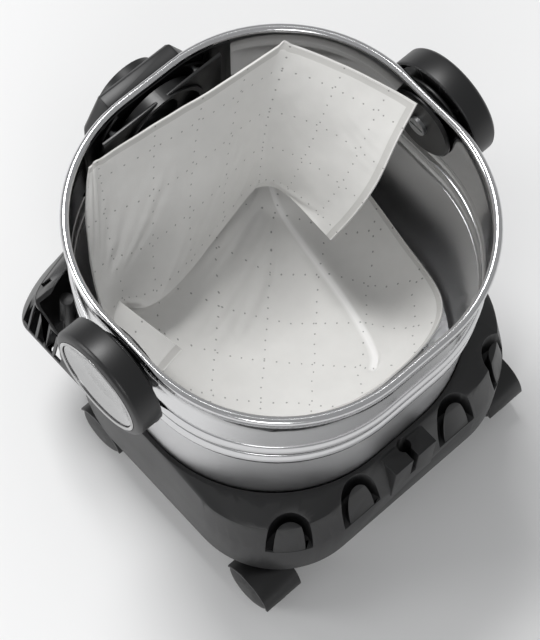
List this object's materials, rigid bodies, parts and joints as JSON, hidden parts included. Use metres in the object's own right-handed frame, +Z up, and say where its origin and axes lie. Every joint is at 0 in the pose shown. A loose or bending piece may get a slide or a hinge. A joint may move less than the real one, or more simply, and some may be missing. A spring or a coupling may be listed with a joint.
{
  "type": "shop vacuum container",
  "caption": "Open stainless tub on a wheeled moulded chassis with a front bumper, hose inlet, turning side latches, twin-wheel casters and a fleece filter bag.",
  "frame": {"origin": "on the floor, under the middle of the machine's length and width", "axes": "+Z up, -Y to the front with the hose inlet, +Y to the rear with the accessory posts, +X to one latch"},
  "size_m": [0.3836, 0.362, 0.353],
  "materials": {
    "stainless": "polished",
    "grey_plastic": "satin",
    "dark_plastic": "satin",
    "black_plastic": "satin",
    "chromed_inlay": "mirror",
    "wheel_plastic": "satin",
    "gasket_rubber": "matte",
    "zinc_steel": "zinc plated",
    "fleece": "matte non-woven fleece"
  },
  "bodies": {
    "base": {"tub_wall": "stainless", "tub_floor": "stainless", "chassis": "grey_plastic", "front_bumper": "grey_plastic", "inlet_housing": "grey_plastic", "inlet_gasket": "gasket_rubber", "inlet_plate": "black_plastic", "bag_spigot": "black_plastic", "inlet_screws": "zinc_steel", "caster_sleeves": "zinc_steel", "tub_bolts": "zinc_steel", "tub_nuts": "zinc_steel", "bumper_screws": "zinc_steel", "latch_hub_right": "dark_plastic", "latch_plate_right": "black_plastic", "latch_pivot_right": "zinc_steel", "latch_nut_right": "zinc_steel", "latch_hub_left": "dark_plastic", "latch_plate_left": "black_plastic", "latch_pivot_left": "zinc_steel", "latch_nut_left": "zinc_steel"},
    "latch_right": {"latch_cover_right": "dark_plastic", "latch_inlay_right": "chromed_inlay", "latch_trim_right": "chromed_inlay"},
    "latch_left": {"latch_cover_left": "dark_plastic", "latch_inlay_left": "chromed_inlay", "latch_trim_left": "chromed_inlay"},
    "caster_rear_right": {"caster_stem_rear_right": "zinc_steel", "caster_hood_rear_right": "black_plastic"},
    "wheels_rear_right": {"caster_axle_rear_right": "zinc_steel", "caster_wheel_rear_right_a": "wheel_plastic", "caster_wheel_rear_right_b": "wheel_plastic"},
    "caster_rear_left": {"caster_stem_rear_left": "zinc_steel", "caster_hood_rear_left": "black_plastic"},
    "wheels_rear_left": {"caster_axle_rear_left": "zinc_steel", "caster_wheel_rear_left_a": "wheel_plastic", "caster_wheel_rear_left_b": "wheel_plastic"},
    "caster_front_right": {"caster_stem_front_right": "zinc_steel", "caster_hood_front_right": "black_plastic"},
    "wheels_front_right": {"caster_axle_front_right": "zinc_steel", "caster_wheel_front_right_a": "wheel_plastic", "caster_wheel_front_right_b": "wheel_plastic"},
    "caster_front_left": {"caster_stem_front_left": "zinc_steel", "caster_hood_front_left": "black_plastic"},
    "wheels_front_left": {"caster_axle_front_left": "zinc_steel", "caster_wheel_front_left_a": "wheel_plastic", "caster_wheel_front_left_b": "wheel_plastic"},
    "bag": {"filter_bag": "fleece", "bag_collar": "black_plastic"}
  },
  "joints": [
    {"name": "latch_turn_right", "type": "hinge", "parent": "base", "child": "latch_right", "pos_m": [0.18, 0.006, 0.303], "axis": [1, 0, 0], "range_deg": [0, 90]},
    {"name": "latch_turn_left", "type": "hinge", "parent": "base", "child": "latch_left", "pos_m": [-0.18, 0.006, 0.303], "axis": [1, 0, 0], "range_deg": [0, 90]},
    {"name": "caster_swivel_rear_right", "type": "hinge", "parent": "base", "child": "caster_rear_right", "pos_m": [0.133, 0.126, 0.06], "axis": [0, 0, 1], "continuous": true},
    {"name": "wheel_spin_rear_right", "type": "hinge", "parent": "caster_rear_right", "child": "wheels_rear_right", "pos_m": [0.133, 0.144, 0.025], "axis": [1, 0, 0], "continuous": true},
    {"name": "caster_swivel_rear_left", "type": "hinge", "parent": "base", "child": "caster_rear_left", "pos_m": [-0.133, 0.126, 0.06], "axis": [0, 0, 1], "continuous": true},
    {"name": "wheel_spin_rear_left", "type": "hinge", "parent": "caster_rear_left", "child": "wheels_rear_left", "pos_m": [-0.133, 0.144, 0.025], "axis": [1, 0, 0], "continuous": true},
    {"name": "caster_swivel_front_right", "type": "hinge", "parent": "base", "child": "caster_front_right", "pos_m": [0.133, -0.066, 0.06], "axis": [0, 0, 1], "continuous": true},
    {"name": "wheel_spin_front_right", "type": "hinge", "parent": "caster_front_right", "child": "wheels_front_right", "pos_m": [0.133, -0.048, 0.025], "axis": [1, 0, 0], "continuous": true},
    {"name": "caster_swivel_front_left", "type": "hinge", "parent": "base", "child": "caster_front_left", "pos_m": [-0.133, -0.066, 0.06], "axis": [0, 0, 1], "continuous": true},
    {"name": "wheel_spin_front_left", "type": "hinge", "parent": "caster_front_left", "child": "wheels_front_left", "pos_m": [-0.133, -0.048, 0.025], "axis": [1, 0, 0], "continuous": true},
    {"name": "bag_slide", "type": "slide", "parent": "base", "child": "bag", "axis": [0, 1, 0], "range_m": [0, 0.02]}
  ]
}
